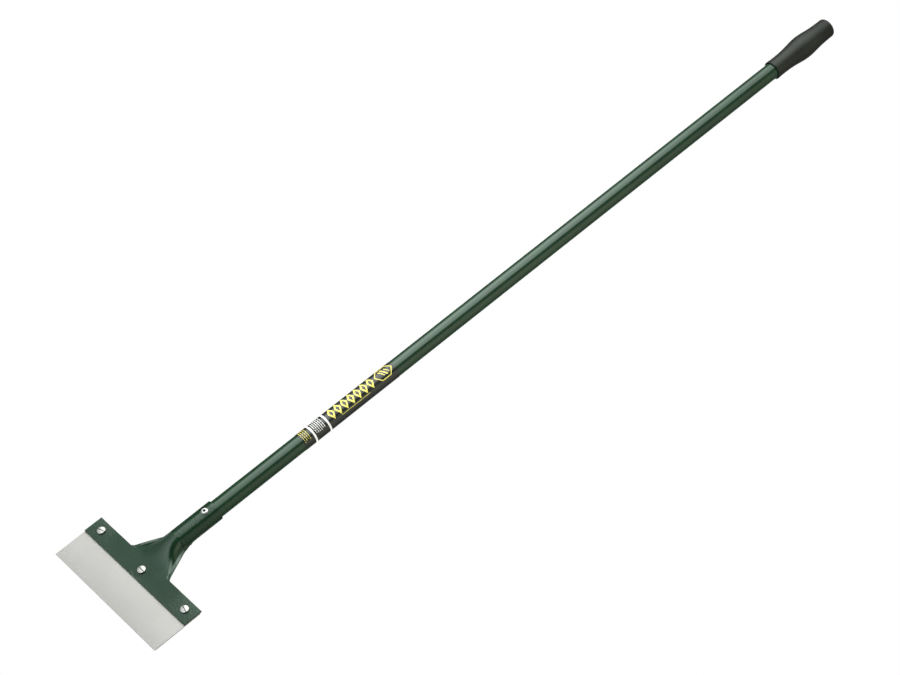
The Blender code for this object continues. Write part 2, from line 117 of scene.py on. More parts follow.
def bevel(ob, width, segments, angle):
    mod = ob.modifiers.new("edge", 'BEVEL')
    mod.width = width * MM
    mod.segments = segments
    mod.limit_method = 'ANGLE'
    mod.angle_limit = math.radians(angle)
    mod.use_clamp_overlap = True
    mod.miter_outer = 'MITER_ARC'


def bake(ob, cutters=(), operation='DIFFERENCE', smooth=38.0, weighted=True):
    """Cut, keep the evaluated mesh, drop the modifiers and the cutters, then
    set smooth faces with crisp edges and area-weighted normals."""
    for cutter in cutters:
        mod = ob.modifiers.new("cut", 'BOOLEAN')
        mod.operation = operation
        mod.solver = 'EXACT'
        mod.object = cutter
    bpy.context.view_layer.update()
    if ob.modifiers:
        depsgraph = bpy.context.evaluated_depsgraph_get()
        made = bpy.data.meshes.new_from_object(ob.evaluated_get(depsgraph))
        old = ob.data
        ob.modifiers.clear()
        ob.data = made
        made.name = old.name + "_m"
        bpy.data.meshes.remove(old)
    for cutter in cutters:
        bpy.data.objects.remove(cutter, do_unlink=True)
    ob.data.shade_smooth()
    ob.data.set_sharp_from_angle(angle=math.radians(smooth))
    if weighted:
        mod = ob.modifiers.new("weighted", 'WEIGHTED_NORMAL')
        mod.keep_sharp = True


def register(ob, replaced=None, rides="root"):
    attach(ob, rides)
    if replaced:
        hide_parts(replaced)


def turned(profile, count, closed=True):
    """Turn (radius, height) points about Z; a point on the axis is a pole."""
    verts, rings, faces = [], [], []
    for radius, height in profile:
        start = len(verts)
        if radius < 1e-9:
            verts.append((0.0, 0.0, height))
        else:
            for i in range(count):
                angle = 2 * math.pi * i / count
                verts.append((radius * math.cos(angle), radius * math.sin(angle), height))
        rings.append(range(start, len(verts)))
    for k in range(len(rings) if closed else len(rings) - 1):
        ring, after = rings[k], rings[(k + 1) % len(rings)]
        for i in range(count):
            j = (i + 1) % count
            if len(ring) == 1:
                faces.append((ring[0], after[i], after[j]))
            elif len(after) == 1:
                faces.append((ring[i], ring[j], after[0]))
            else:
                faces.append((ring[i], ring[j], after[j], after[i]))
    return verts, faces


def ring_quads(rings, size, closed=False):
    """Quads joining successive rings of `size` vertices."""
    faces = []
    for k in range(rings if closed else rings - 1):
        here, there = k * size, (k + 1) % rings * size
        for i in range(size):
            j = (i + 1) % size
            faces.append((here + i, here + j, there + j, there + i))
    return faces


def prism_faces(rings, size):
    last = size * (rings - 1)
    return [tuple(range(size)), tuple(range(last + size - 1, last - 1, -1)),
            *ring_quads(rings, size)]


def along_y(verts, x, z):
    """Lay a turned shape along +Y, its axis through (x, z)."""
    return [(v[0] + x, v[2], -v[1] + z) for v in verts]


def rod_profile(radius, start, end):
    return [(0, start), (radius, start), (radius, end), (0, end)]


def screw_drills(start_y, end_y):
    drills = []
    for x, z, *_ in SCREWS.values():
        verts, faces = turned(rod_profile(SCREW_HOLE_R, start_y, end_y), 64, closed=False)
        drills.append(place("cutter", along_y(verts, x, z), faces, []))
    return drills


def rivet_frame(verts):
    """Point a turned shape out of the socket's front, at the rivet."""
    moved = []
    for x, y, z in verts:
        p = RIVET_TURN @ Vector((x, -z, y))
        moved.append((p.x, p.y, p.z + RIVET_Z))
    return moved


def rivet_drill():
    verts, faces = turned(rod_profile(RIVET_HOLE_R, 9.0, 22.0), 64, closed=False)
    return place("cutter", rivet_frame(verts), faces, [])


# ------------------------------------------------------------ shader helpers
class Shader:
    """A node tree with short ways to add to it."""

    def __init__(self, tree, space="Object"):
        self.tree = tree
        self.coords = self.add("ShaderNodeTexCoord").outputs[space]
        self.normal = None

    def feed(self, socket, value):
        if isinstance(value, bpy.types.NodeSocket):
            self.tree.links.new(value, socket)
        else:
            socket.default_value = value

    def add(self, kind, inputs=None, **settings):
        node = self.tree.nodes.new(kind)
        for name, value in settings.items():
            setattr(node, name, value)
        for key, value in (inputs or {}).items():
            self.feed(node.inputs[key], value)
        return node

    def surface(self, values):
        for name, value in values.items():
            self.feed(self.tree.nodes["Principled BSDF"].inputs[name], value)

    def noise(self, scale, detail=4.0, roughness=0.55, stretch=None):
        source = self.coords
        if stretch is not None:
            source = self.add("ShaderNodeMapping", {
                "Scale": stretch, "Vector": source}).outputs["Vector"]
        return self.add("ShaderNodeTexNoise", {
            "Scale": scale, "Detail": detail, "Roughness": roughness,
            "Vector": source}).outputs["Fac"]

    def cells(self, scale):
        return self.add("ShaderNodeTexVoronoi", {
            "Scale": scale, "Vector": self.coords}).outputs["Distance"]

    def axes(self):
        return self.add("ShaderNodeSeparateXYZ", {0: self.coords}).outputs

    def ramp(self, factor, stops):
        """stops: (position, grey or colour)"""
        node = self.add("ShaderNodeValToRGB", {"Fac": factor})
        elements = node.color_ramp.elements
        elements.remove(elements[-1])
        for i, (position, colour) in enumerate(stops):
            if not isinstance(colour, tuple):
                colour = (colour, colour, colour)
            element = elements.new(position) if i else elements[0]
            element.position = position
            element.color = (*colour, 1.0)
        return node.outputs["Color"]

    def span(self, factor, low, high, start=0.3, end=0.7):
        return self.ramp(factor, [(start, low), (end, high)])

    def maths(self, operation, *values):
        return self.add("ShaderNodeMath", dict(enumerate(values)),
                        operation=operation).outputs[0]

    def multiply(self, first, second):
        return self.add("ShaderNodeMix", {0: 1.0, 6: first, 7: second},
                        data_type='RGBA', blend_type='MULTIPLY').outputs[2]

    def bump(self, height, distance, strength):
        """Lay one more relief, `distance` mm deep, over those before it."""
        node = self.add("ShaderNodeBump", {
            "Distance": distance * MM, "Strength": strength, "Height": height})
        if self.normal is not None:
            self.feed(node.inputs["Normal"], self.normal)
        self.normal = node.outputs["Normal"]
        self.surface({"Normal": self.normal})


def new_material(name):
    material = bpy.data.materials.new(name)
    material.use_nodes = True
    return material, Shader(material.node_tree)


def scaled(colour, factor):
    return tuple(v * factor for v in colour)


# ------------------------------------------------------------ materials
def paint_material(name, peel, roughness, base):
    """Dark green stoved gloss: orange peel in two sizes, faint dust nibs, a
    little drift in colour and gloss."""
    material, shader = new_material(name)
    broad = shader.noise(scale=22.0, detail=3.0)
    fine = shader.noise(scale=330.0, detail=3.0, roughness=0.5)
    finest = shader.noise(scale=900.0, detail=2.0, roughness=0.5)
    tint = shader.span(broad, low=scaled(base, 0.86), high=scaled(base, 1.16))
    speck = shader.span(fine, low=0.90, high=1.12, start=0.35, end=0.65)
    shader.surface({
        "Base Color": shader.multiply(tint, speck),
        "Roughness": shader.span(broad, low=roughness * 0.85, high=roughness * 1.3),
        "IOR": 1.5,
        "Specular Tint": (0.86, 1.0, 0.92, 1.0)})
    nibs = shader.span(shader.cells(scale=85.0), low=1.0, high=0.0, start=0.0, end=0.035)
    shader.bump(fine, distance=0.10 * peel, strength=0.30)
    shader.bump(finest, distance=0.03 * peel, strength=0.25)
    shader.bump(nibs, distance=0.04, strength=0.5)
    return material


def blade_material():
    """Ground spring steel: fine lines along the strip, cloudy patches, and
    painted shade that darkens the tone towards the working edge."""
    material, shader = new_material("ground_steel")
    lines = shader.noise(scale=60.0, detail=5.0, roughness=0.65, stretch=(0.35, 30.0, 42.0))
    cloud = shader.noise(scale=9.0, detail=5.0, roughness=0.6)
    grain = shader.noise(scale=700.0, detail=3.0, roughness=0.6)
    base = shader.span(cloud, low=(0.311, 0.303, 0.294), high=(0.343, 0.334, 0.325))
    line_tone = shader.span(lines, low=0.93, high=1.05, start=0.25, end=0.75)
    grain_tone = shader.span(grain, low=0.96, high=1.03)
    colour = shader.multiply(shader.multiply(base, line_tone), grain_tone)
    # painted shade against height, darker towards the working edge, 0 to 1 over the lowest
    # 90 mm
    height = shader.maths('MULTIPLY', shader.axes()[2], 1000.0 / 90.0)
    painted_shade_grade = shader.ramp(height, [(0.0, 0.885), (0.33, 1.02), (0.55, 1.075), (0.64, 1.09)])
    shader.surface({
        "Base Color": shader.multiply(colour, painted_shade_grade),
        "Metallic": 0.30,
        "Roughness": shader.span(lines, low=0.46, high=0.60, start=0.2, end=0.8)})
    shader.bump(lines, distance=0.03, strength=0.35)
    shader.bump(grain, distance=0.01, strength=0.3)
    return material


def metal_material(name, base, roughness, scratch=420.0, depth=0.02, warm=0.0,
                   metallic=1.0):
    """Clouded metal; `warm` shifts the lighter patches from blue to red."""
    material, shader = new_material(name)
    cloud = shader.noise(scale=160.0, roughness=0.6)
    fine = shader.noise(scale=scratch, roughness=0.6)
    red, green, blue = scaled(base, 1.04)
    shader.surface({
        "Base Color": shader.span(cloud, low=scaled(base, 0.90),
                                  high=(red + warm, green, blue - warm)),
        "Metallic": metallic,
        "Roughness": shader.span(fine, low=roughness * 0.8, high=roughness * 1.35)})
    shader.bump(fine, distance=depth, strength=0.3)
    shader.bump(cloud, distance=depth * 2, strength=0.2)
    return material


def rubber_material():
    """Charcoal moulded grip: fine spark-eroded skin, pips and a duller
    surface towards the closed end, handling bloom."""
    material, shader = new_material("grip_rubber_skin")
    skin = shader.noise(scale=950.0, roughness=0.6)
    bloom = shader.noise(scale=38.0, roughness=0.6)
    streak = shader.noise(scale=120.0, detail=3.0, stretch=(1.0, 1.0, 0.12))
    base = shader.span(bloom, low=(0.0032, 0.0041, 0.0024), high=(0.0050, 0.0061, 0.0040))
    streak_tone = shader.span(streak, low=0.90, high=1.12)
    # 0 to 1 over the 100 mm from z = 1500 mm
    along = shader.maths('SUBTRACT', shader.maths('MULTIPLY', shader.axes()[2], 10.0), 15.0)
    mask = shader.span(along, low=0.0, high=1.0, start=0.30, end=0.62)
    shader.surface({
        "Base Color": shader.multiply(base, streak_tone),
        "Roughness": shader.span(skin, low=0.44, high=0.56),
        "IOR": 1.48,
        "Specular Tint": (0.95, 1.0, 0.94, 1.0),
        "Specular IOR Level": shader.ramp(along, [
            (0.05, 0.50), (0.35, 0.46), (0.65, 0.37), (0.92, 0.32)])})
    pips = shader.maths('MULTIPLY', shader.cells(scale=420.0), mask)
    shader.bump(skin, distance=0.05, strength=0.5)
    shader.bump(pips, distance=0.25, strength=0.55)
    shader.bump(bloom, distance=0.15, strength=0.25)
    return material


def film_material(name, base, roughness, ior, vary):
    """Printed film: shrink ripples along the tube and a light skin."""
    material, shader = new_material(name)
    ripple = shader.noise(scale=90.0, detail=3.0, roughness=0.5, stretch=(1.0, 1.0, 0.35))
    fine = shader.noise(scale=800.0, detail=3.0, roughness=0.5)
    shader.surface({
        "Base Color": shader.span(fine, low=scaled(base, 1 - vary),
                                  high=scaled(base, 1 + vary)),
        "Roughness": shader.span(ripple, low=roughness * 0.8, high=roughness * 1.3),
        "IOR": ior})
    shader.bump(ripple, distance=0.10, strength=0.25)
    shader.bump(fine, distance=0.02, strength=0.2)
    return material


PAINT_HEAD = paint_material("green_gloss_head", peel=2.6, roughness=0.085,
                            base=(0.0050, 0.0205, 0.0084))
PAINT_TUBE = paint_material("green_gloss_tube", peel=0.6, roughness=0.10,
                            base=(0.0072, 0.0270, 0.0112))
GROUND_STEEL = blade_material()
ZINC = metal_material("zinc_plate", base=(0.445, 0.445, 0.43), roughness=0.34, warm=0.01)
# painted shade for the driver slots: a dark zinc laid on the slot faces
SLOT_PAINTED_SHADE = metal_material("zinc_slot_painted_shade", base=(0.055, 0.052, 0.046), roughness=0.55,
                           scratch=800.0, depth=0.05, metallic=0.4)
ZINC_DULL = metal_material("zinc_plate_dull", base=(0.52, 0.52, 0.50), roughness=0.32,
                           warm=0.02)
ALUMINIUM = metal_material("rivet_aluminium_skin", base=(0.50, 0.50, 0.49), roughness=0.30)
MANDREL = metal_material("mandrel_broken", base=(0.05, 0.048, 0.046), roughness=0.5,
                         scratch=900.0, depth=0.08)
RUBBER = rubber_material()
FILM = film_material("film_black", base=(0.0105, 0.0135, 0.0105), roughness=0.15,
                     ior=1.5, vary=0.12)
INK_YELLOW = film_material("ink_yellow", base=(0.83, 0.74, 0.16), roughness=0.30,
                           ior=1.45, vary=0.05)
INK_WHITE = film_material("ink_white", base=(0.86, 0.86, 0.84), roughness=0.30,
                          ior=1.45, vary=0.04)

# ------------------------------------------------------------ pressed head
# segments of a half section: main arc, second curve, edge strip
ARC_SEGMENTS, CURVE_SEGMENTS, EDGE_SEGMENTS = 30, 16, 5
SIXTY_ARC = SOCKET_MID * math.radians(60)
BACK_ARC = SOCKET_MID * math.pi / 2 - 0.6       # side to just short of the back seam
# How the neck closes into the socket.  After a quarter circle the sheet
# runs on in two curves: z, turn and length of one, turn and length of the
# other (turns in degrees)
STATIONS = [(z, math.radians(turn_1), length_1, math.radians(turn_2), length_2)
            for z, turn_1, length_1, turn_2, length_2 in (
                (FULL_Z, -46, 3.6, 0, 5.0),
                (147.0, -8, 4.4, 4, 4.4),
                (151.0, 9, 6.0, 9, 4.0),
                (155.5, 22, 9.0, 14, 5.0),
                (160.0, 42, 12.4, 22, 6.4),
                (ROLLED_Z, 60, SIXTY_ARC, 28, BACK_ARC - SIXTY_ARC))]
# x of the plate's columns beyond the neck
ARM_X = [51.5, 55.0, 60.0, 70.0, 80.0, 90.0, 100.0, 110.0, 120.0, 125.5, BLADE_W / 2]


def walk(points, length, turn, count):
    """Carry (x, y, heading) points along a curve of even turn."""
    x, y, heading = points[-1]
    for _ in range(count):
        middle = heading + turn / count / 2
        x += length / count * math.cos(middle)
        y += length / count * math.sin(middle)
        heading += turn / count
        points.append((x, y, heading))


def edge_half(z):
    """Half width of the neck, flaring where it leaves the plate."""
    root = max(0.0, 1 - (z - PLATE_TOP) / 5.0)
    return 46.4 - 0.503 * (z - PLATE_TOP) + 3.0 * root ** 2.2


def station(z):
    """Turns and lengths at z, by a smooth curve through the stations."""
    z = min(max(z, STATIONS[0][0]), STATIONS[-1][0])
    for i, (low, high) in enumerate(zip(STATIONS, STATIONS[1:])):
        if z <= high[0]:
            before = STATIONS[max(i - 1, 0)]
            after = STATIONS[min(i + 2, len(STATIONS) - 1)]
            gap = high[0] - low[0]
            t = (z - low[0]) / gap
            t2, t3 = t * t, t * t * t
            values = []
            for k in range(1, 5):
                slope_low = (high[k] - before[k]) / (high[0] - before[0]) * gap
                slope_high = (after[k] - low[k]) / (after[0] - low[0]) * gap
                values.append((2 * t3 - 3 * t2 + 1) * low[k]
                              + (t3 - 2 * t2 + t) * slope_low
                              + (3 * t2 - 2 * t3) * high[k] + (t3 - t2) * slope_high)
            return values


def half_section(z):
    """(x, y, heading) along the sheet's middle, from the centre line to +X."""
    if z >= FULL_Z:
        turn_1, length_1, turn_2, length_2 = station(z)
        points = [(0.0, -SOCKET_MID, 0.0)]
        walk(points, SOCKET_MID * math.pi / 2, math.pi / 2, ARC_SEGMENTS)
        walk(points, length_1, turn_1, CURVE_SEGMENTS)
        walk(points, length_2, turn_2, EDGE_SEGMENTS)
        return points
    neck_z = max(z, PLATE_TOP)
    lean = math.radians(44) * smoothstep((neck_z - 112.0) / 40.0) ** 1.1
    flange = 4.1 + 0.2 * smoothstep((neck_z - 112.0) / 28.0)
    fillet = 3.6 + 16.0 * (1 - smoothstep((neck_z - 82.0) / 16.0)) \
        + 2.0 * smoothstep((neck_z - 116.0) / 14.0)
    bulge = smoothstep((z - TOE_Z) / (FULL_Z - TOE_Z))
    rise = max((PLATE_MID + SOCKET_MID) * bulge, 1e-4)
    foot = edge_half(neck_z) - flange * math.cos(lean)
    # settle on the arc's angle that gives the wanted rise over this foot
    angle = 2 * math.atan2(rise, foot)
    for _ in range(12):
        radius = (foot - fillet * (math.sin(angle) - math.sin(lean))) / math.sin(angle)
        reached = radius * (1 - math.cos(angle)) \
            + fillet * (math.cos(lean) - math.cos(angle))
        angle = min(math.pi / 2, max(1e-4, angle * rise / reached))
    points = [(0.0, PLATE_MID - rise, 0.0)]
    walk(points, radius * angle, angle, ARC_SEGMENTS)
    walk(points, fillet * (angle - lean) if angle > lean + 0.02 else 0.1,
         lean - angle, CURVE_SEGMENTS)
    walk(points, flange, 0.0, EDGE_SEGMENTS)
    return points


def head_rows():
    """Heights of the rows of vertices, on the plate and on the neck."""
    plate = [PLATE_BOTTOM, 58.0, 62.0, 66.0, 70.0, 74.0, 77.5,
             *steps(79.0, PLATE_TOP - 0.2, 0.75), PLATE_TOP]
    neck = [PLATE_TOP + rise for rise in (0.6, 1.2, 2.0, 3.0, 4.2)]
    neck += steps(94.5, ROLLED_Z - 0.5, 1.25)
    neck += [ROLLED_Z, 171.0, 180.0, 190.0, 200.0, 208.0, 214.5, RIM_Z]
    return plate, neck


def set_back(x, z):
    """Small shift in y.  The pressing of the neck has drawn the plate: its
    middle leans forward by about a degree towards its top, its ends slightly
    back.  The flat seat round the middle screw is set back a shade."""
    seat_x, seat_z, *_ = SCREWS["middle"]
    seat = 0.10 * (1 - smoothstep((math.hypot(x - seat_x, z - seat_z) - 14.6) / 1.8))
    wide = (1.0 - 1.35 * smoothstep((abs(x) - 60.0) / 32.0)) * (1.0 - 0.0022 * x)
    up = min(z, 96.0) - 72.7
    fade = 1 - smoothstep((z - 96.0) / 36.0)
    return seat - (0.0180 * up + 0.00040 * up * up) * wide * fade


def head_mesh():
    plate, neck = head_rows()
    heights = plate + neck
    arms = len(ARM_X)
    rows = []
    for i, z in enumerate(heights):
        half = half_section(z)
        if i < len(plate):
            edge_y = half[-1][1]
            half += [(x, edge_y, 0.0) for x in ARM_X]
        rows.append([(-x, y, -heading) for x, y, heading in reversed(half[1:])] + half)
    # columns count from the neck's -X edge, so those of the -X arm are negative
    verts, index = [], {}
    for side, offset in (("front", SHEET / 2), ("back", -SHEET / 2)):
        for i, (z, row) in enumerate(zip(heights, rows)):
            for j, (x, y, heading) in enumerate(row, -arms if i < len(plate) else 0):
                index[side, i, j] = len(verts)
                verts.append((x + math.sin(heading) * offset,
                              y - math.cos(heading) * offset + set_back(x, z), z))
    faces, edges = [], {}
    for i in range(len(heights) - 1):
        extra = arms if i + 1 < len(plate) else 0
        for j in range(-extra, len(rows[-1]) - 1 + extra):
            quad = ((i, j), (i, j + 1), (i + 1, j + 1), (i + 1, j))
            faces.append(tuple(index["front", *corner] for corner in quad))
            faces.append(tuple(index["back", *corner] for corner in reversed(quad)))
            for a, b in zip(quad, quad[1:] + quad[:1]):
                edges.setdefault((min(a, b), max(a, b)), []).append((a, b))
    # edges with one quad are the outline: wall them from front to back
    for uses in edges.values():
        if len(uses) == 1:
            a, b = uses[0]
            faces.append((index["front", *b], index["front", *a],
                          index["back", *a], index["back", *b]))
    return verts, faces


def build_head():
    head = place("head_pressing", *head_mesh(), [PAINT_HEAD])
    bevel(head, width=0.45, segments=3, angle=52)
    bake(head, [*screw_drills(-1.0, 9.0), rivet_drill()])
    register(head, "head")


# ------------------------------------------------------------ blade and tube
def build_blade():
    # (y, z) round the section: a ground bevel down to a narrow land
    outline = [(BLADE_FRONT, 0.0), (BLADE_FRONT + EDGE_LAND, 0.0), (BLADE_BACK, BEVEL_H),
               (BLADE_BACK, BLADE_TOP), (BLADE_FRONT, BLADE_TOP)]
    columns = evenly(-BLADE_W / 2, BLADE_W / 2, 24)
    verts = [(x, y, z) for x in columns for y, z in outline]
    blade = place("blade_ground", verts, prism_faces(len(columns), len(outline)),
                  [GROUND_STEEL])
    bevel(blade, width=0.18, segments=2, angle=20)
    bake(blade, screw_drills(3.0, 10.0))
    register(blade, "blade")


def build_tube():
    chamfer = 0.35
    profile = [(TUBE_INNER + chamfer, TUBE_BOTTOM), (TUBE_OUTER - chamfer, TUBE_BOTTOM),
               (TUBE_OUTER, TUBE_BOTTOM + chamfer)]
    profile += [(TUBE_OUTER, z) for z in evenly(TUBE_BOTTOM + 20, TUBE_TOP - 20, 24)]
    profile += [(TUBE_OUTER, TUBE_TOP - chamfer), (TUBE_OUTER - chamfer, TUBE_TOP),
                (TUBE_INNER + chamfer, TUBE_TOP), (TUBE_INNER, TUBE_TOP - chamfer),
                (TUBE_INNER, TUBE_BOTTOM + chamfer)]
    tube = place("tube_painted", *turned(profile, 144), [PAINT_TUBE])
    bake(tube, [rivet_drill()])
    register(tube, "shaft_tube")


# ------------------------------------------------------------ blind rivet
# profiles are (radius, distance from the shaft's axis)
def rivet_saddle():
    """The socket's surface as a ring round the shank, to shape the underside
    of the rivet's flange."""
    core = rod_profile(SOCKET_OUTER + 0.2, 180.0, 215.0)
    saddle = place("cutter", *turned(core, 144, closed=False), [])
    shank_r, reach = 3.15, 10.2
    low, high = SOCKET_OUTER - 3.4, SOCKET_OUTER + 6
    verts, faces = turned([(shank_r, low), (reach, low), (reach, high), (shank_r, high)], 72)
    ring = place("cutter", rivet_frame(verts), faces, [])
    bake(saddle, [ring], operation='INTERSECT', weighted=False)
    return saddle


def build_rivet():
    bore, flange, shank = 2.2, 5.7, 3.15
    profile = [(bore, 10.2), (bore, SOCKET_OUTER + 1.9)]
    for i in range(15):
        angle = math.radians(90 * i / 14)
        profile.append((bore + 0.15 + (flange - 2.35) * math.sin(angle),
                        SOCKET_OUTER + 0.35 + 1.75 * math.cos(angle)))
    profile += [(flange, SOCKET_OUTER - 1.3), (shank, SOCKET_OUTER - 1.3)]
    # the bulge upset inside the tube
    profile += [(shank, 12.1), (3.7, 11.95), (4.1, 11.6), (4.3, 11.1), (4.1, 10.7),
                (3.7, 10.4), (3.2, 10.2)]
    verts, faces = turned(profile, 72)
    rivet = place("rivet_sleeve", rivet_frame(verts), faces, [ALUMINIUM])
    bake(rivet, [rivet_saddle()])
    register(rivet, "rivet_shell")


def build_mandrel():
    profile = [(0, 8.2), (1.2, 8.25), (1.9, 8.45), (2.5, 8.95), (2.5, 9.7), (1.9, 10.0)]
    # the broken end, below the socket's surface
    profile += [(radius, SOCKET_OUTER - depth) for radius, depth in (
        (1.9, 1.2), (1.8, 0.9), (1.5, 0.6), (1.0, 0.32), (0.5, 0.55), (0, 0.42))]
    verts, faces = turned(profile, 48, closed=False)
    pin = place("rivet_mandrel_stub", rivet_frame(verts), faces, [MANDREL])
    bake(pin)
    register(pin, "rivet_mandrel")


# ------------------------------------------------------------ label film
def build_film():
    profile = [(FILM_INNER, FILM_BOTTOM), (FILM_OUTER - 0.04, FILM_BOTTOM),
               (FILM_OUTER, FILM_BOTTOM + 0.05)]
    profile += [(FILM_OUTER, z) for z in evenly(FILM_BOTTOM + 4, FILM_TOP - 4, 30)]
    profile += [(FILM_OUTER, FILM_TOP - 0.05), (FILM_OUTER - 0.04, FILM_TOP),
                (FILM_INNER, FILM_TOP)]
    film = place("film_sleeve", *turned(profile, 144), [FILM])
    bake(film)
    register(film, "label_film")


class Ink:
    """Printed marks as one thin closed mesh laid round the film.  Marks are
    drawn in (u, z): u is arc length from the label's centre line, towards +X."""

    def __init__(self):
        self.verts, self.faces = [], []

    def sheet(self, grid, ring=False):
        """grid: rows of (u, z); quads between them, with a skin below."""
        rows, columns = len(grid), len(grid[0])
        base = len(self.verts)
        for radius in (INK_OUTER, INK_INNER):
            for row in grid:
                for u, z in row:
                    angle = LABEL_TURN + u / FILM_OUTER
                    self.verts.append((radius * math.sin(angle),
                                       -radius * math.cos(angle), z))

        def top(i, j):
            return base + (i % rows) * columns + j

        def under(i, j):
            return top(i, j) + rows * columns

        end = columns - 1
        for i in range(rows if ring else rows - 1):
            for j in range(end):
                self.faces.append((top(i, j), top(i, j + 1), top(i + 1, j + 1),
                                   top(i + 1, j)))
                self.faces.append((under(i, j), under(i + 1, j), under(i + 1, j + 1),
                                   under(i, j + 1)))
            self.faces.append((top(i, 0), top(i + 1, 0), under(i + 1, 0), under(i, 0)))
            self.faces.append((top(i, end), under(i, end), under(i + 1, end),
                               top(i + 1, end)))
        if not ring:
            last = rows - 1
            for j in range(end):
                self.faces.append((top(0, j), under(0, j), under(0, j + 1), top(0, j + 1)))
                self.faces.append((top(last, j), top(last, j + 1), under(last, j + 1),
                                   under(last, j)))

    def bar(self, u0, u1, z0, z1):
        count = max(1, int((u1 - u0) / 0.8))
        self.sheet([[(u, z) for u in evenly(u0, u1, count)] for z in (z0, z1)])

    def loop(self, points, width):
        """A closed outline of (u, z) corners drawn with a mitred stroke."""
        count = len(points)
        inner, outer = [], []
        for i in range(count):
            before, here, after = (Vector(points[(i + k) % count]) for k in (-1, 0, 1))
            along_in, along_out = (here - before).normalized(), (after - here).normalized()
            normal_in = Vector((-along_in.y, along_in.x))
            normal_out = Vector((-along_out.y, along_out.x))
            mitre = (normal_in + normal_out).normalized()
            reach = width / 2 / max(0.35, mitre.dot(normal_in))
            inner.append(here + mitre * reach)
            outer.append(here - mitre * reach)
        grid = []
        for i in range(count):
            j = (i + 1) % count
            parts = max(1, int((Vector(points[j]) - Vector(points[i])).length / 1.0))
            for part in range(parts):
                a = inner[i].lerp(inner[j], part / parts)
                b = outer[i].lerp(outer[j], part / parts)
                grid.append([tuple(a.lerp(b, k / 3)) for k in range(4)])
        self.sheet(grid, ring=True)

    def line(self, start, end, width):
        start, end = Vector(start), Vector(end)
        along = (end - start).normalized()
        across = Vector((-along.y, along.x)) * width / 2
        parts = max(2, int((end - start).length / 0.8))
        self.sheet([[tuple(start.lerp(end, part / parts) + across * k)
                     for k in (-1, 0, 1)] for part in range(parts + 1)])

    def make(self, name, material):
        ob = place(name, self.verts, self.faces, [material])
        bake(ob, smooth=60.0, weighted=False)
        register(ob)


def print_bands():
    """Two white bands right round the film."""
    for letter, z in (("a", 407.0), ("b", 436.0)):
        profile = [(INK_INNER, z - 1.6), (INK_OUTER, z - 1.55),
                   (INK_OUTER, z + 1.55), (INK_INNER, z + 1.6)]
        band = place("print_band_" + letter, *turned(profile, 144), [INK_WHITE])
        bake(band, weighted=False)
        register(band)


def print_lozenges():
    """The main motif: a row of plain separate lozenges, and a rule beside."""
    half_w, half_h, first_z, pitch = 8.8, 4.5, 449.5, 13.4
    ink = Ink()
    for i in range(7):
        z = first_z + pitch * i
        ink.loop([(-half_w, z), (0.0, z - half_h), (half_w, z), (0.0, z + half_h)],
                 width=2.6)
    ink.make("print_lozenges", INK_YELLOW)
    ink = Ink()
    ink.bar(12.6, 13.3, 462.0, 520.0)
    ink.make("print_rule", INK_YELLOW)


def print_device():
    """A six-sided outline round three slanting bars."""
    half_w, half_h, middle_z = 12.3, 17.0, 557.0
    ink = Ink()
    turns = [math.radians(60 * i) for i in range(6)]
    ink.loop([(half_w * math.sin(turn), middle_z + half_h * math.cos(turn))
              for turn in turns], width=1.5)
    # start u, rise from the middle; end u, rise; width
    for u0, rise0, u1, rise1, width in ((-5.5, -6.5, 5.5, -0.5, 1.5),
                                        (-6.5, -2.0, 6.5, 5.0, 2.2),
                                        (-4.5, 4.5, 4.0, 9.5, 1.2)):
        ink.line((u0, middle_z + rise0), (u1, middle_z + rise1), width)
    ink.make("print_device", INK_YELLOW)


def percent_draws(seed):
    while True:
        seed = (seed * 1103515245 + 12345) % 2147483648
        yield (seed >> 16) % 100


def print_dashes(name, material, draws, rows, first_z, pitch, height, last_u,
                 shortest, spread, gap):
    """A panel of short dashes in rows, with nothing to read."""
    ink = Ink()
    for row in range(rows):
        z = first_z + pitch * row
        u = -12.5
        while u < last_u:
            length = shortest + spread * next(draws) / 100.0
            ink.bar(u, min(u + length, 12.0), z, z + height)
            u += length + gap
    ink.make(name, material)


def build_label():
    build_film()
    print_bands()
    print_lozenges()
    print_device()
    draws = percent_draws(seed=7)
    print_dashes("print_panel_white", INK_WHITE, draws, rows=6, first_z=411.6, pitch=3.3,
                 height=1.1, last_u=11.0, shortest=1.1, spread=3.0, gap=0.9)
    print_dashes("print_panel_yellow", INK_YELLOW, draws, rows=4, first_z=388.4, pitch=3.4,
                 height=0.9, last_u=10.5, shortest=1.6, spread=3.4, gap=1.2)


# ------------------------------------------------------------ hand grip
def grip_radius(z):
    """A gentle taper, a swell near the middle and a flare at the mouth."""
    t = (z - GRIP_BOTTOM) / (GRIP_TOP - GRIP_BOTTOM)
    base = 16.45 + 0.9 * smoothstep((t - 0.35) / 0.6)
    swell = 4.35 * math.exp(-((t - 0.525) / (0.20 if t < 0.525 else 0.215)) ** 2)
    mouth = 0.60 * math.exp(-(t / 0.055) ** 2)
    return base + swell + mouth


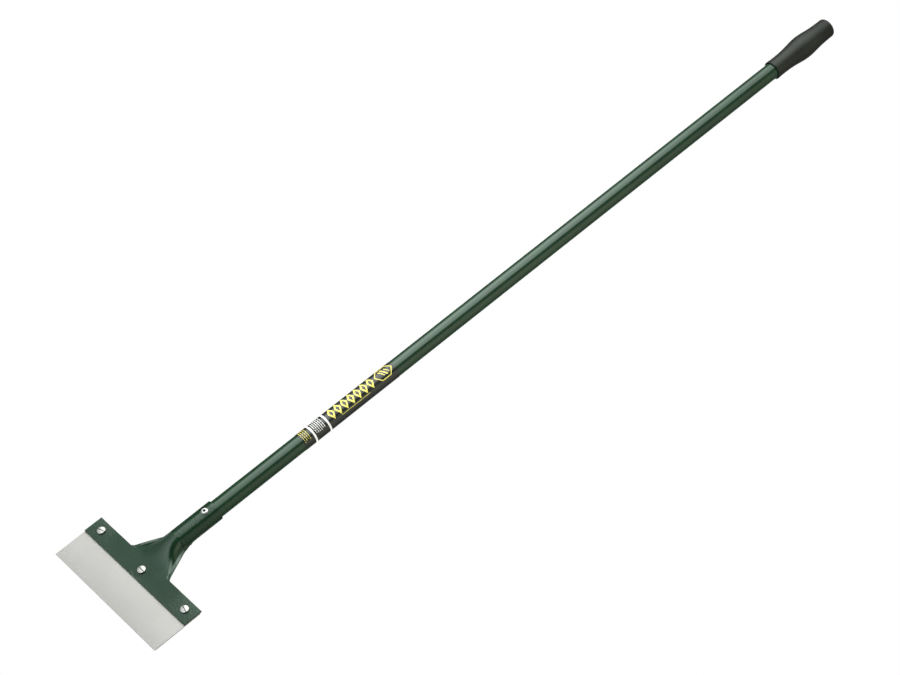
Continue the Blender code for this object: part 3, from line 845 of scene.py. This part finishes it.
def build_grip():
    lip = grip_radius(GRIP_BOTTOM)
    profile = [(0, TUBE_TOP + 0.5), (GRIP_BORE, TUBE_TOP + 0.5)]
    # bore widening towards the mouth: added radius, height above the mouth
    profile += [(GRIP_BORE + wider, GRIP_BOTTOM + up) for wider, up in (
        (0, 9.0), (0.25, 6.5), (0.5, 4.0), (0.8, 2.0), (1.0, 0.5), (1.1, 0.08))]
    profile += [(lip - 0.75, GRIP_BOTTOM), (lip - 0.45, GRIP_BOTTOM + 0.08),
                (lip - 0.12, GRIP_BOTTOM + 0.35)]
    round_z = GRIP_TOP - GRIP_ROUND
    profile += [(grip_radius(z), z) for z in evenly(GRIP_BOTTOM + 0.8, round_z, 90)]
    round_r = profile[-1][0] - GRIP_ROUND
    for i in range(1, 13):
        angle = math.radians(90 * i / 12)
        profile.append((round_r + GRIP_ROUND * math.cos(angle),
                        round_z + GRIP_ROUND * math.sin(angle)))
    profile += [(6.0, GRIP_TOP), (0, GRIP_TOP)]
    grip = place("grip_moulded", *turned(profile, 96, closed=False), [RUBBER])
    bake(grip, smooth=45.0)
    register(grip, "grip")


# ------------------------------------------------------------ fasteners
def screw_profile():
    """(radius, y) from the crown of the head to the tip."""
    top_y = HEAD_SEAT_Y - HEAD_H
    crown_r = (HEAD_R - HEAD_RIM_R) / math.sin(CROWN_ANGLE) + HEAD_RIM_R
    profile = [(0, top_y)]
    for i in range(1, 13):
        angle = CROWN_ANGLE * i / 12
        profile.append((crown_r * math.sin(angle), top_y + crown_r * (1 - math.cos(angle))))
    rim_y = top_y + (crown_r - HEAD_RIM_R) * (1 - math.cos(CROWN_ANGLE)) + HEAD_RIM_R
    for i in range(1, 11):
        angle = CROWN_ANGLE + (math.pi / 2 - CROWN_ANGLE) * i / 10
        profile.append((HEAD_R - HEAD_RIM_R + HEAD_RIM_R * math.sin(angle),
                        rim_y - HEAD_RIM_R * math.cos(angle)))
    profile += [(HEAD_R, HEAD_SEAT_Y - 0.30), (HEAD_R - 0.09, HEAD_SEAT_Y - 0.09),
                (HEAD_R - 0.30, HEAD_SEAT_Y), (3.05, HEAD_SEAT_Y),
                (2.65, HEAD_SEAT_Y + 0.35)]
    profile += [(2.65, y) for y in steps(HEAD_SEAT_Y + 0.5, SCREW_TIP_Y - 0.7, 0.125)]
    profile += [(2.5, SCREW_TIP_Y - 0.55), (2.1, SCREW_TIP_Y - 0.12), (1.9, SCREW_TIP_Y),
                (0, SCREW_TIP_Y)]
    return profile


def threaded(verts):
    """Roll a thread on the shank: 1 mm pitch, flat crests, faded ends."""
    start, end = HEAD_SEAT_Y + 0.9, SCREW_TIP_Y - 0.6
    root_r, thread_h, plain_r = 2.46, 0.54, 2.62
    moved = []
    for x, y, along in verts:
        r = math.hypot(x, y)
        if r > 1e-6 and start < along < end:
            phase = (along - math.atan2(y, x) / (2 * math.pi)) % 1.0
            wave = 1 - abs(phase - 0.5) * 2
            rolled = root_r + thread_h * min(1.0, max(0.0, (wave - 0.12) * 1.32))
            fade = smoothstep((along - start) / 0.8) * smoothstep((end - along) / 0.8)
            radius = plain_r + (rolled - plain_r) * fade
            moved.append((x / r * radius, y / r * radius, along))
        else:
            moved.append((x, y, along))
    return moved


def build_screw(side, x, z, slot_angle):
    """Slotted pan head over a rolled M6 thread."""
    verts, faces = turned(screw_profile(), 64, closed=False)
    screw = place("screw_" + side + "_turned", along_y(threaded(verts), x, z), faces,
                  [ZINC, SLOT_PAINTED_SHADE])
    cos, sin = math.cos(math.radians(slot_angle)), math.sin(math.radians(slot_angle))
    half_w = SLOT_W / 2
    open_y = HEAD_SEAT_Y - HEAD_H - 2
    floor_y = HEAD_SEAT_Y - HEAD_H + SLOT_DEPTH
    # (across, y) round the slot's section
    section = [(-half_w - 0.05, open_y), (-half_w, floor_y - 0.15),
               (-half_w + 0.15, floor_y), (half_w - 0.15, floor_y),
               (half_w, floor_y - 0.15), (half_w + 0.05, open_y)]
    verts = [(x + along * cos - across * sin, y, z + along * sin + across * cos)
             for along in (-HEAD_R - 2, HEAD_R + 2) for across, y in section]
    slot = place("cutter", verts, prism_faces(2, len(section)), [])
    bake(screw, [slot], smooth=32.0)
    # painted shade: a dark material laid on the floor and walls of the driver slot
    for poly in screw.data.polygons:
        center = poly.center / MM
        across = -(center.x - x) * sin + (center.z - z) * cos
        if abs(across) < half_w + 0.02 and center.y < floor_y + 0.02 and \
                (abs(poly.normal.y) < 0.5 or center.y > floor_y - 0.2):
            poly.material_index = 1
    register(screw, "screw_" + side)


def build_flat_washer(side, x, z):
    front, back, outer, inner = 7.7, 9.1, 6.0, 3.3
    profile = [(inner, front + 0.12), (inner + 0.12, front), (outer - 0.3, front),
               (outer - 0.1, front + 0.08), (outer, front + 0.3), (outer, back - 0.12),
               (outer - 0.12, back), (inner + 0.2, back), (inner + 0.05, back - 0.08),
               (inner, back - 0.2)]
    verts, faces = turned(profile, 72)
    washer = place("flat_washer_" + side + "_blanked", along_y(verts, x, z), faces,
                   [ZINC_DULL])
    bake(washer)
    register(washer, "flat_washer_" + side)


def build_spring_washer(side, x, z, gap_angle):
    """A split coil, rising from front to back by what its thickness leaves."""
    front, back, outer, inner = 9.3, 10.9, 5.7, 3.2
    thick, chamfer = 1.36, 0.10
    segments, gap = 84, math.radians(12)
    verts = []
    for i in range(segments + 1):
        t = i / segments
        angle = math.radians(gap_angle) + gap / 2 + (2 * math.pi - gap) * t
        low = front + (back - front - thick) * t
        high = low + thick
        section = [(inner + chamfer, low), (outer - chamfer, low),
                   (outer, low + chamfer), (outer, high - chamfer),
                   (outer - chamfer, high), (inner + chamfer, high),
                   (inner, high - chamfer), (inner, low + chamfer)]
        for radius, y in section:
            verts.append((x + radius * math.cos(angle), y, z + radius * math.sin(angle)))
    size = len(section)
    faces = ring_quads(segments + 1, size)
    faces += [tuple(range(size - 1, -1, -1)),
              tuple(size * segments + i for i in range(size))]
    washer = place("spring_washer_" + side + "_coiled", verts, faces, [ZINC_DULL])
    bake(washer, smooth=30.0)
    register(washer, "spring_washer_" + side, rides="washer_" + side)


def build_nut(side, x, z, nut_angle):
    front, back, across_flats, bore = 11.1, 16.1, 10.0, 3.06
    bore_chamfer = 0.38
    corner = across_flats / 2 / math.cos(math.pi / 6)
    count = 96
    yaw = math.radians(nut_angle)
    # distance in from either face, and the turned limit as a share of the corner
    rounding = [(0, 0.87), (0.1, 0.895), (0.25, 0.93), (0.45, 0.972), (0.62, 1.0)]
    levels = [(front + inset, share) for inset, share in rounding]
    levels += [(back - inset, share) for inset, share in reversed(rounding)]
    verts = []
    for y, share in levels:
        for i in range(count):
            angle = 2 * math.pi * i / count
            flat = across_flats / 2 / math.cos(((angle + math.pi / 6) % (math.pi / 3))
                                               - math.pi / 6)
            radius = min(flat, corner * share, corner - 0.06)
            verts.append((x + radius * math.cos(angle + yaw), y,
                          z + radius * math.sin(angle + yaw)))
    inner = [(back, bore + bore_chamfer), (back - bore_chamfer, bore),
             (front + bore_chamfer, bore), (front, bore + bore_chamfer)]
    for y, radius in inner:
        for i in range(count):
            angle = 2 * math.pi * i / count + yaw
            verts.append((x + radius * math.cos(angle), y, z + radius * math.sin(angle)))
    faces = ring_quads(len(levels) + len(inner), count, closed=True)
    nut = place("nut_" + side + "_hex", verts, faces, [ZINC])
    bake(nut, smooth=24.0)
    register(nut, "nut_" + side, rides="nut_" + side)


build_head()
build_blade()
build_tube()
build_rivet()
build_mandrel()
build_label()
build_grip()
for side, (x, z, slot_angle, gap_angle, nut_angle) in SCREWS.items():
    build_screw(side, x, z, slot_angle)
    build_flat_washer(side, x, z)
    build_spring_washer(side, x, z, gap_angle)
    build_nut(side, x, z, nut_angle)


# ------------------------------------------------------------ floor
def build_floor():
    """A pale floor just under the working edge; seen from underneath it is
    clear, because the camera looks up at the tool from below it."""
    half, z = 9.0, -0.0015                      # metres
    mesh = bpy.data.meshes.new("floor")
    mesh.from_pydata([(-half, -half, z), (half, -half, z), (half, half, z),
                      (-half, half, z)], [], [(0, 1, 2, 3)])
    floor = bpy.data.objects.new("floor", mesh)
    bpy.context.scene.collection.objects.link(floor)
    material, shader = new_material("studio_floor")
    shader.surface({"Base Color": (0.80, 0.80, 0.79, 1.0), "Roughness": 0.85})
    shader.surface({"Base Color": shader.span(
        shader.noise(scale=60.0, detail=3.0),
        low=(0.797, 0.797, 0.788), high=(0.803, 0.803, 0.794))})
    nodes = material.node_tree.nodes
    mixed = shader.add("ShaderNodeMixShader", {
        0: shader.add("ShaderNodeNewGeometry").outputs["Backfacing"],
        1: nodes["Principled BSDF"].outputs[0],
        2: shader.add("ShaderNodeBsdfTransparent").outputs[0]})
    shader.feed(nodes["Material Output"].inputs["Surface"], mixed.outputs[0])
    mesh.materials.append(material)
    floor.visible_glossy = False


build_floor()

# ------------------------------------------------------------ light
# The studio as directions round the tool.  Azimuth is 0 in front (-Y) and
# +90 at +X; elevation is up from the horizon.  Tables are (degrees, value).
KEY_STRENGTH, UNDER_STRENGTH, AMBIENT = 6.2, 3.0, 0.015
# a wide soft box in front, a dim return panel to +X, a soft box behind
BOXES_AZIMUTH = [
    (-180, 0.06), (-168, 0.15), (-152, 0.45), (-134, 0.45), (-122, 0.14),
    (-112, 0.03), (-92, 0.015), (-80, 0.015), (-71, 0.05), (-62, 0.19),
    (-54, 0.46), (-46, 0.74), (-34, 0.98), (-27, 1.0), (-17, 0.88), (-4, 0.76),
    (10, 0.75), (19, 0.62), (26, 0.36), (32, 0.13), (38, 0.015), (46, 0.015),
    (54, 0.075), (66, 0.17), (84, 0.23), (104, 0.165), (126, 0.10), (143, 0.03),
    (165, 0.02), (180, 0.06)]
BOXES_ELEVATION = [
    (-90, 0.0), (8.5, 0.0), (10.2, 0.02), (11.4, 0.11), (12.4, 0.42), (13.2, 0.61),
    (15, 0.74), (18.5, 0.97), (22, 1.0), (26, 0.94), (30, 0.68), (36, 0.50),
    (50, 0.42), (70, 0.34), (90, 0.30)]
# how much is taken off the low light on the -X side
SHADE_AZIMUTH = [(-60, 1.0), (-52, 0.75), (-42, 0.15), (-36, 0.0)]
SHADE_ELEVATION = [(12, 1.0), (15, 0.55), (18.5, 0.0)]
OVERHEAD_ELEVATION = [(20, 0.0), (45, 0.10), (60, 0.55), (90, 0.75)]
COOL, WARM = (0.965, 1.0, 0.97), (1.02, 1.0, 0.84)
TONE_AZIMUTH = [(-180, COOL), (40, COOL), (56, WARM), (135, WARM), (150, COOL)]
# what a surface that leans down reflects: a grey floor with one pale strip
UNDER_AZIMUTH = [
    (-180, 0.75), (-164, 0.70), (-150, 0.30), (-136, 0.16), (-112, 0.16),
    (-90, 0.22), (-64, 0.20), (-50, 0.25), (-41, 0.40), (-34, 0.50), (-22, 0.60),
    (-10, 0.80), (0, 0.85), (7, 0.78), (13, 0.42), (18, 0.02), (42, 0.0),
    (50, 0.09), (60, 0.17), (92, 0.17), (120, 0.12), (135, 0.05), (158, 0.20),
    (168, 0.65), (180, 0.75)]
UNDER_ELEVATION = [
    (-90, 0.5), (-45, 0.9), (-28, 1.0), (-18, 0.90), (-9, 0.76), (0, 0.88),
    (8.5, 0.82), (10.6, 0.52), (12.6, 0.0)]


def build_world():
    world = bpy.data.worlds.new("studio")
    bpy.context.scene.world = world
    world.use_nodes = True
    world.node_tree.nodes.clear()
    sky = Shader(world.node_tree, space="Generated")
    maths = sky.maths
    x, y, z = sky.axes()
    azimuth = maths('ARCTAN2', x, maths('MULTIPLY', y, -1.0))
    azimuth = maths('ADD', maths('DIVIDE', azimuth, 2 * math.pi), 0.5)
    elevation = maths('ADD', maths('DIVIDE', maths('ARCSINE', z), math.pi), 0.5)

    def round_ramp(table):
        return sky.ramp(azimuth, [((deg + 180.0) / 360.0, value) for deg, value in table])

    def up_ramp(table):
        return sky.ramp(elevation, [((deg + 90.0) / 180.0, value) for deg, value in table])

    def product(by_azimuth, by_elevation):
        return maths('MULTIPLY', round_ramp(by_azimuth), up_ramp(by_elevation))

    light = maths('MULTIPLY', product(BOXES_AZIMUTH, BOXES_ELEVATION), KEY_STRENGTH)
    shade = product(SHADE_AZIMUTH, SHADE_ELEVATION)
    light = maths('MULTIPLY', light, maths('SUBTRACT', 1.0, shade))
    light = maths('ADD', light, up_ramp(OVERHEAD_ELEVATION))
    light = maths('ADD', light, AMBIENT)
    glow = maths('MULTIPLY', product(UNDER_AZIMUTH, UNDER_ELEVATION), UNDER_STRENGTH)
    above = sky.add("ShaderNodeBackground", {
        "Strength": light, "Color": round_ramp(TONE_AZIMUTH)})
    below = sky.add("ShaderNodeBackground", {
        "Strength": glow, "Color": (0.955, 1.0, 1.06, 1.0)})
    studio = sky.add("ShaderNodeAddShader", {0: above.outputs[0], 1: below.outputs[0]})
    # the camera itself sees plain white
    white = sky.add("ShaderNodeBackground", {"Color": (1, 1, 1, 1)})
    mixed = sky.add("ShaderNodeMixShader", {
        0: sky.add("ShaderNodeLightPath").outputs["Is Camera Ray"],
        1: studio.outputs[0], 2: white.outputs[0]})
    sky.add("ShaderNodeOutputWorld", {"Surface": mixed.outputs[0]})
    world.cycles.sampling_method = 'MANUAL'
    world.cycles.sample_map_resolution = 1024


def disk_lamp(name, size, energy, location, target):
    """A soft lamp, in metres and watts, that no reflection shows."""
    light = bpy.data.lights.new(name, 'AREA')
    light.shape = 'DISK'
    light.size = size
    light.energy = energy
    light.color = (1.0, 0.99, 0.97)
    lamp = bpy.data.objects.new(name, light)
    bpy.context.scene.collection.objects.link(lamp)
    lamp.location = location
    lamp.rotation_mode = 'QUATERNION'
    lamp.rotation_quaternion = (Vector(target) - lamp.location).to_track_quat("-Z", "Y")
    lamp.visible_glossy = False
    lamp.visible_camera = False


build_world()
# from the front on the -X side, for the small shadows
disk_lamp("key", size=0.9, energy=42.0, location=(-1.75, -1.70, 1.15),
          target=(0, 0, 0.25))
# a weaker one from behind, so that the washers and nuts read
disk_lamp("back_fill", size=0.8, energy=34.0, location=(1.25, 2.15, 1.05),
          target=(0, 0, 0.35))

# ------------------------------------------------------------ camera
# rows: the camera's right, up and backward directions
CAMERA_AXES = ((0.6640406073573298, 0.15073237617937044, 0.7323454257055401),
               (-0.4926017463549101, -0.6486545292952248, 0.5801644776379217),
               (0.5624887476817656, -0.7460074077354129, -0.35648191586010103))
# the frame's origin as the camera sees it
ORIGIN_IN_CAMERA = Vector((-512.09864, -385.81638, -3211.72321)) * MM


def build_camera():
    lens = bpy.data.cameras.new("camera")
    camera = bpy.data.objects.new("camera", lens)
    bpy.context.scene.collection.objects.link(camera)
    rotation = Matrix(CAMERA_AXES).transposed()
    camera.matrix_world = Matrix.Translation(-(rotation @ ORIGIN_IN_CAMERA)) \
        @ rotation.to_4x4()
    lens.sensor_fit = 'HORIZONTAL'
    lens.sensor_width = 36.0
    lens.lens = 87.127988
    lens.clip_start, lens.clip_end = 0.05, 60.0
    bpy.context.scene.camera = camera


build_camera()
view = bpy.context.scene.view_settings
view.view_transform = 'Standard'
view.look = 'None'
view.exposure = 0.0
view.gamma = 1.0

bpy.context.view_layer.update()
